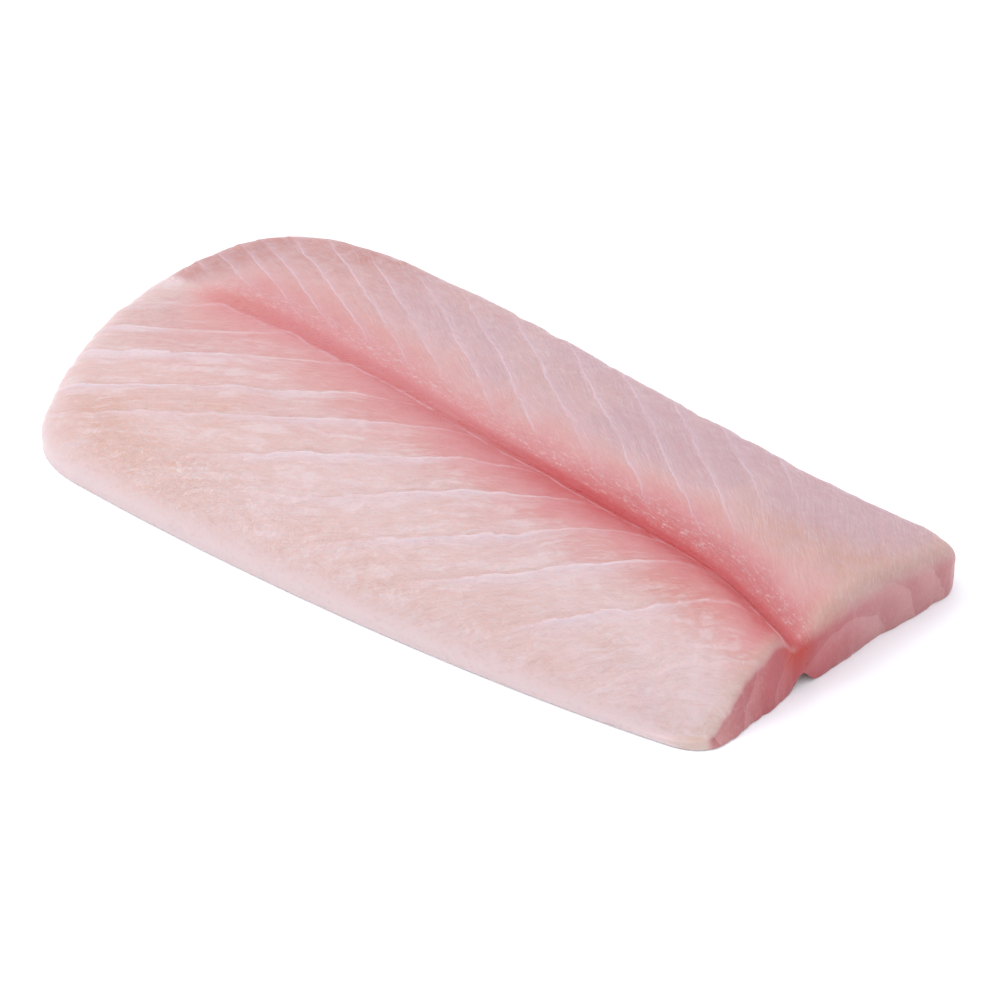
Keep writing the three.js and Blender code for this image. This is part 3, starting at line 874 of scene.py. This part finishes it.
# %% Read the numbers
away_mm, height_mm = number("away_from_groove"), number("height")
blushing, cut, under, wall = number("blush"), number("cut"), number("under"), number("wall")
from_groove = maths("ABSOLUTE", away_mm)
on_top = maths("SUBTRACT", 1.0, wall)
back_lobe = fade(away_mm, -2.0, 3.0)
belly_lobe = maths("SUBTRACT", 1.0, back_lobe)
belly_part = times(number("belly_flake"), fade(away_mm, -0.01, 0.01, 1.0, 0.0))
back_part = times(number("back_flake"), fade(away_mm, -0.01, 0.01))
flake = plus(belly_part, back_part)
off_groove = fade(from_groove, 1.0, 7.0)
object_place = nodes.new("ShaderNodeTexCoord").outputs["Object"]

# %% [markdown]
# ### Fibres and blotches
#
# Muscle fibres run from seam to seam, so their streaks follow the flake number and the
# distance from the groove instead of the room. Noise that is read quickly along one of
# these and slowly along the other gives long thin streaks. The height joins in, so that
# the streaks do not run straight down the walls. The blotches and grains are plain noise
# on the object's own coordinates, and the curls are the thin lines where such noise
# passes its middle value.

# %% Draw fibres and blotches
deeper = times(height_mm, 0.7)


def streaks(a, per_a, b, per_b, twist):
    """Noise that runs through per_a steps to a unit of a, and per_b steps to one of b."""
    return noise(place(times(a, per_a), times(b, per_b), deeper), 1.0, 3.0, 0.6, twist)


along_seam = streaks(flake, 24.0, from_groove, 0.22, 0.5)
across_seam = streaks(flake, 2.2, from_groove, 1.3, 0.9)
along_groove = streaks(away_mm, 1.9, number("along"), 0.28, 1.0)
blotches = noise(object_place, 38.0, 3.0, 0.55)
fine_blotches = noise(object_place, 170.0, 4.0, 0.6, 0.6)
grains = noise(object_place, 640.0, 3.0, 0.65, 1.2)
from_curl = maths("ABSOLUTE", plus(noise(object_place, 300.0, 1.0, 0.5, 1.6), -0.5))
curly = plus(number("hairy"), times(belly_lobe, 0.25))
curly = times(curly, on_top, fade(blushing, 0.05, 0.4, 1.0, 0.1))
curls = times(fade(from_curl, 0.0, 0.05, 1.0, 0.0), curly)
fibres = plus(times(along_seam, 0.7), times(across_seam, 0.3))
fibres = plus(0.5, times(plus(fibres, -0.5), off_groove))

# %% [markdown]
# ### The broad colours
#
# The belly lobe is creamy pink and the back lobe a greyer pearl. The blush then runs from
# pink to red through a few colours in order, which a colour ramp does better than one
# mix, because the red in the groove is not just a stronger pink.

# %% Lay the broad colours
BELLY_CREAM, BACK_PEARL = colour(236, 208, 206), colour(215, 181, 186)
WARM, COOL = colour(227, 192, 184), colour(229, 208, 215)
TINTS = (
    ("peach", colour(229, 180, 162), 0.5), ("yellow", colour(220, 175, 158), 0.55),
    ("chalk", colour(242, 220, 219), 0.5), ("bruise", colour(205, 158, 136), 0.5),
    ("rosy", colour(209, 156, 150), 0.95),
)
BLUSH_STOPS = (
    (0.0, (234, 206, 205)), (0.12, (232, 195, 195)), (0.27, (230, 183, 180)),
    (0.41, (229, 170, 168)), (0.55, (227, 157, 158)), (0.68, (222, 143, 144)),
    (0.8, (218, 128, 129)), (0.91, (216, 112, 114)), (1.0, (213, 102, 104)),
)
BLUSH_TOP, ORANGE_FLESH = 1.1, colour(218, 140, 126)

patchy = fade(fine_blotches, 0.3, 0.7, 0.5, 1.2)
base = layered(
    BELLY_CREAM, (back_lobe, BACK_PEARL), (fade(blotches, 0.42, 0.7, 0.0, 0.4), WARM),
    (times(fade(blotches, 0.5, 0.28, 0.0, 0.45), belly_lobe), COOL),
    *((times(number(name), patchy, most), tint) for name, tint, most in TINTS),
)

streaky = times(blushing, fade(fibres, 0.35, 0.65, 0.9, 1.08))
ramp = nodes.new("ShaderNodeValToRGB")
ramp.color_ramp.elements.remove(ramp.color_ramp.elements[0])
for at, tint in BLUSH_STOPS:
    stop = ramp.color_ramp.elements.new(at) if at < 1 else ramp.color_ramp.elements[-1]
    stop.color = colour(*tint)
links.new(times(streaky, 1 / BLUSH_TOP), ramp.inputs[0])
base = layered(
    base, (fade(streaky, 0.02, 0.36), ramp.outputs[0]),
    (times(number("orange"), 0.5), ORANGE_FLESH),
)

# %% [markdown]
# ### The red line
#
# The dark muscle is not one smooth stripe. Its darkest threads lie right in the groove,
# a thin pale membrane follows it on the belly side, and on the back side it is covered
# with torn white fibres that look like sugar. Their white is partly the fibres and partly
# painted wet glints. The back bank of the groove is lifted a little with painted light,
# against the shade of the groove, and partly for the paler torn tissue there. Noise
# stretched along the groove gives the threads, and a narrow window on the distance from
# the groove gives the membrane.

# %% Draw the red line
DARK_MUSCLE, MEMBRANE = colour(208, 94, 96), colour(232, 178, 184)
BANK_PAINTED_LIGHT, TORN_WHITE_AND_GLINTS = colour(243, 196, 198), colour(240, 206, 208)

dark_threads = times(number("deep"), fade(along_groove, 0.4, 0.6, 0.15, 0.85))
from_membrane = maths("ABSOLUTE", plus(away_mm, fade(blotches, 0.3, 0.7, 4.6, 7.2)))
membrane = times(fade(from_membrane, 0.2, 0.9, 1.0, 0.0), fade(blushing, 0.5, 0.75))
membrane = times(membrane, fade(fine_blotches, 0.35, 0.55), 0.7)
# Painted light: a narrow window on the back bank of the groove is lightened towards pink, to lift
# the groove's shade, and partly for its paler torn tissue.
bank = times(fade(away_mm, 1.0, 4.0), fade(away_mm, 15.0, 8.0), 0.08)
torn_zone = times(fade(away_mm, 0.5, 4.0), fade(away_mm, 15.0, 6.0), fade(blushing, 0.05, 0.3))
# The torn white specks are partly torn fibres and partly painted wet glints.
torn = times(torn_zone, fade(along_groove, 0.48, 0.62), fade(grains, 0.42, 0.6, 0.2, 1.0))
base = layered(
    base, (dark_threads, DARK_MUSCLE), (membrane, MEMBRANE), (bank, BANK_PAINTED_LIGHT),
    (times(torn, 0.7), TORN_WHITE_AND_GLINTS),
)

# %% [markdown]
# ### The seams
#
# A seam is a thin sheet of pale tissue that the cut has sliced through. On the belly lobe
# the flake behind it stands a little proud, so it shows as a thin bright lip with a paler
# band behind it. The lip is drawn partly as pale tissue and partly as a painted highlight
# where the proud edge meets the lamp, and the low end of each flake, just before the next
# seam, gets painted shade. On the smooth back lobe it is a fine lilac thread. Both are
# drawn from the fraction of the flake number, and both fade out towards the edge of their
# lobe.

# %% Draw the seams, with painted highlights on the lips and painted shade before them
BAND_BEHIND, BAND_BEFORE = 0.32, 0.78
LIP_BEHIND, LIP_BEFORE, THREAD_BEHIND, THREAD_BEFORE = 0.075, 0.97, 0.055, 0.965

coarse_wobble = fade(fine_blotches, 0.25, 0.75, -0.025, 0.025)
fine_wobble = fade(grains, 0.3, 0.7, -0.008, 0.008)
through = maths("FRACT", plus(flake, plus(coarse_wobble, fine_wobble)))
on_belly_top, on_back_top = times(belly_lobe, on_top), times(back_lobe, on_top)
bands, threads = times(number("bands"), on_belly_top), times(number("threads"), on_back_top)


def behind_seam(share):
    """1 on a seam and fading to 0 over a share of the flake behind it."""
    return fade(through, 0.0, share, 1.0, 0.0)


lip = plus(behind_seam(LIP_BEHIND), fade(through, LIP_BEFORE, 1.0))
lip = times(lip, number("lips"), on_belly_top)
thread = times(plus(behind_seam(THREAD_BEHIND), fade(through, THREAD_BEFORE, 1.0)), threads)
broken = fade(blotches, 0.35, 0.58, 0.2, 1.0)
broken_fine = fade(fine_blotches, 0.3, 0.6, 0.3, 1.0)
PALE_BAND, PAINTED_SHADE_BEFORE_SEAM = colour(235, 215, 222), colour(223, 182, 176)
LIP_LILAC_AND_HIGHLIGHT, THREAD_LILAC = colour(243, 226, 233), colour(232, 209, 223)

base = layered(
    base,
    (times(behind_seam(BAND_BEHIND), bands, fade(blotches, 0.35, 0.6, 0.35, 0.9)), PALE_BAND),
    # Painted shade: the low end of each flake, at the foot of the next seam's step, is darkened
    # towards a warm brown-pink.
    (times(fade(through, BAND_BEFORE, 1.0), bands, 0.35), PAINTED_SHADE_BEFORE_SEAM),
    # The lip: pale seam tissue plus a painted highlight on the proud edge of the flake.
    (times(lip, broken, broken_fine, 0.95), LIP_LILAC_AND_HIGHLIGHT),
    (times(behind_seam(0.5), threads, 0.2), THREAD_LILAC),
    (times(thread, broken, 0.8), THREAD_LILAC),
)

# %% [markdown]
# ### The cut and the underside
#
# The cut at the tail shows the flakes end on, as soft rings round the backbone's side. It
# faces away from the lamp and its colour is deeper: red beside the groove and mauve
# further out, with a creamy rim where the light shines through the edge. The wall of the
# belly edge is lightened with painted light, as though the soft light reached it fully.
# The underside was next to the skin and keeps a broad brownish stripe of dark muscle.

# %% Colour the cut, and paint light on the wall of the belly edge
CUT_RED, CUT_MAUVE = colour(206, 110, 113), colour(217, 158, 157)
CUT_AT_GROOVE, BELLY_WALL_PAINTED_LIGHT = colour(208, 92, 84), colour(246, 226, 226)
RING_SHADE, RING_EDGE = colour(192, 120, 126), colour(222, 178, 180)
BELLY_RIM, BACK_RIM = colour(229, 203, 188), colour(221, 186, 174)

ring_through = maths("FRACT", plus(number("ring"), fade(blotches, 0.2, 0.8, -0.25, 0.25)))
at_groove = times(fade(from_groove, 9.0, 1.0), fade(height_mm, 2.0, 14.0))
cut_colour = layered(
    CUT_RED, (fade(from_groove, 4.0, 40.0), CUT_MAUVE),
    (fade(ring_through, 0.0, 0.9, 0.4, 0.0), RING_SHADE),
    (fade(ring_through, 0.4, 0.95, 0.0, 0.22), RING_EDGE), (at_groove, CUT_AT_GROOVE),
)
on_rim = times(number("rim"), maths("SUBTRACT", 1.0, cut), 0.7)
# Painted light: the wall of the belly edge is lightened to a pale pink.
base = layered(
    base, (times(wall, belly_lobe, 0.9), BELLY_WALL_PAINTED_LIGHT), (cut, cut_colour),
    (on_rim, layered(BELLY_RIM, (back_lobe, BACK_RIM))),
)

# %% Colour the underside
UNDER_PINK, UNDER_PALE = colour(222, 196, 196), colour(226, 208, 212)
BROWN_STRIPE = colour(168, 98, 88)

stripe = fade(plus(from_groove, fade(blotches, 0.3, 0.7, -8.0, 8.0)), 22.0, 6.0)
mottled = layered(UNDER_PINK, (fade(fine_blotches, 0.35, 0.65), UNDER_PALE))
base = layered(base, (under, layered(mottled, (stripe, BROWN_STRIPE))))

# %% [markdown]
# ### Streaks, clouds and curls
#
# Last come the things that lie on all the colours: pale and dark fibres, milky clouds
# that follow the flakes of the belly lobe, specks of fat and curls of torn fibre. On the
# real fillet the back lobe, the head end and the cut are smoother and the blush hides
# most of it, so each is held back there.

# %% Scatter the fibres and specks
FIBRE_WHITE, FIBRE_SHADE = colour(240, 220, 223), (0.9, 0.82, 0.8, 1)
CLOUD_WHITE, FAT_WHITE = colour(243, 224, 227), colour(242, 222, 222)
CURL_CREAM, BETWEEN_CURLS = colour(246, 226, 222), colour(226, 192, 178)

off_cut = maths("SUBTRACT", 1.0, times(cut, 0.6))
off_back = maths("SUBTRACT", 1.0, times(back_lobe, 0.35))
fibre_share = times(off_cut, off_back, fade(number("along"), -125.0, -70.0, 0.5, 1.0))
pale_fibres = times(fade(fibres, 0.49, 0.66), fibre_share, fade(blushing, 0.1, 0.8, 0.5, 0.15))
dark_fibres = times(fade(fibres, 0.5, 0.32), fibre_share, 0.6)
base = layered(base, (pale_fibres, FIBRE_WHITE))
base = blend_colours(dark_fibres, base, FIBRE_SHADE, "MULTIPLY")
cloud_place = place(times(flake, 4.0), times(from_groove, 0.06), times(height_mm, 0.1))
clouds = fade(noise(cloud_place, 1.0, 3.0, 0.6, 0.8), 0.48, 0.62)
clouds = times(clouds, fade(fine_blotches, 0.3, 0.6), fade(blushing, 0.1, 0.6, 0.6, 0.08))
flecks = times(fade(grains, 0.6, 0.72), fade(fine_blotches, 0.45, 0.65))
flecks = times(flecks, fade(blushing, 0.2, 0.6, 0.3, 0.05))
between_curls = times(fade(from_curl, 0.04, 0.12), curly, 0.3)
base = layered(
    base, (times(clouds, on_belly_top), CLOUD_WHITE), (flecks, FAT_WHITE),
    (between_curls, BETWEEN_CURLS),
    (times(curls, fade(fine_blotches, 0.35, 0.6), 0.75), CURL_CREAM),
)

# %% [markdown]
# ### Relief and gloss
#
# The mesh carries the large steps. A bump adds what is finer than its grid: the fibres,
# the torn and curled threads, the lips of the seams and a little pitting. Light scatters
# up to a few millimetres inside the flesh, furthest for red. The surface is damp rather
# than wet, so it has a soft gloss, sharper in the groove where juice gathers.

# %% Make the relief and the gloss
BUMP_DEPTH, WET_IOR = 0.35 * MM, 1.38
SCATTER_SHARE, SCATTER_COLOURS, SCATTER_DEPTH = 0.4, (1.0, 0.45, 0.35), 3 * MM

relief = plus(times(fibres, 1.1), times(curls, 0.25), times(lip, 0.25))
relief = plus(relief, times(fine_blotches, 0.7), times(grains, 0.2), times(torn, 0.08))
bump = nodes.new("ShaderNodeBump")
calmer = times(relief, fade(wall, 0.0, 1.0, 1.0, 0.4))
fill_in(bump, {"Strength": 1.0, "Distance": BUMP_DEPTH, "Height": calmer})

wet_flesh = nodes.new("ShaderNodeBsdfPrincipled")
output = nodes.new("ShaderNodeOutputMaterial")
links.new(wet_flesh.outputs[0], output.inputs["Surface"])
juicy = fade(from_groove, 12.0, 2.0, 0.0, -0.12)
fill_in(wet_flesh, {
    "Base Color": base, "Normal": bump.outputs[0], "IOR": WET_IOR,
    "Roughness": plus(fade(fine_blotches, 0.3, 0.7, 0.36, 0.5), juicy),
    "Subsurface Weight": SCATTER_SHARE, "Subsurface Radius": SCATTER_COLOURS,
    "Subsurface Scale": SCATTER_DEPTH,
})
flesh_mesh.materials.append(flesh)
print("the material has", len(nodes), "nodes")

# %% Hand the flesh to the frame
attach(fillet_flesh, "root")
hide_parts("fillet")

# %% [markdown]
# ## Floor, light and camera
#
# The fillet lies on a plain white table under soft studio light. A large soft lamp on the
# left gives the lobes their shape and leaves the cut at the tail in half shade, and the
# white surroundings fill in the rest. The camera looks down from the belly side with a
# long lens, so that the sides of the fillet stay nearly parallel.

# %% Lay the floor
FLOOR_HALF, FLOOR_Z = 3.0, -0.1 * MM
TABLE_WHITE, TABLE_ROUGHNESS = (0.94, 0.98, 1.0, 1), 0.9

floor_signs = [(-1, -1), (1, -1), (1, 1), (-1, 1)]
floor_points = [(FLOOR_HALF * i, FLOOR_HALF * j, FLOOR_Z) for i, j in floor_signs]
floor_mesh = bpy.data.meshes.new("floor")
floor_mesh.from_pydata(floor_points, [], [(0, 1, 2, 3)])
floor = add_object("floor", floor_mesh)
white_table = bpy.data.materials.new("white_table")
white_table.use_nodes = True
table_finish = white_table.node_tree.nodes["Principled BSDF"]
fill_in(table_finish, {"Base Color": TABLE_WHITE, "Roughness": TABLE_ROUGHNESS})
floor_mesh.materials.append(white_table)
print("the floor is", 2 * FLOOR_HALF, "m wide")

# %% Set the lights
LAMP_PLACE, LAMP_SIZE, LAMP_POWER = Vector((-1.2, -0.5, 1.6)), 1.4, 17.0
LAMP_TINT = (1.0, 0.99, 0.98)
SURROUND_TINT, SURROUND_LIGHT = (1.0, 0.98, 1.02, 1), 1.2

lamp = bpy.data.lights.new("key_lamp", "AREA")
lamp.shape = "SQUARE"
lamp.size, lamp.energy, lamp.color = LAMP_SIZE, LAMP_POWER, LAMP_TINT
key_lamp = add_object("key_lamp", lamp)
key_lamp.location = LAMP_PLACE
key_lamp.rotation_euler = (-LAMP_PLACE).to_track_quat("-Z", "Y").to_euler()
surround = bpy.data.worlds.new("white_surround")
surround.use_nodes = True
surround_light = surround.node_tree.nodes["Background"]
fill_in(surround_light, {"Color": SURROUND_TINT, "Strength": SURROUND_LIGHT})
bpy.context.scene.world = surround
bpy.context.scene.view_settings.view_transform = "Standard"
print("the surround gives", SURROUND_LIGHT, "beside the lamp")

# %% Place the camera
AZIMUTH, ELEVATION, DISTANCE = math.radians(37.4), math.radians(36.0), 0.857
LOOK_AT = Vector((0.0164, -0.009, 0.008))
LENS_LENGTH, SENSOR_WIDTH = 100.0, 36.0

level = math.cos(ELEVATION)
towards = Vector((math.sin(AZIMUTH) * level, -math.cos(AZIMUTH) * level, math.sin(ELEVATION)))
lens = bpy.data.cameras.new("camera")
lens.lens, lens.sensor_width = LENS_LENGTH, SENSOR_WIDTH
camera = add_object("camera", lens)
camera.location = LOOK_AT + DISTANCE * towards
camera.rotation_euler = towards.to_track_quat("Z", "Y").to_euler()
bpy.context.scene.camera = camera
print("the camera stands at", [round(part, 3) for part in camera.location])
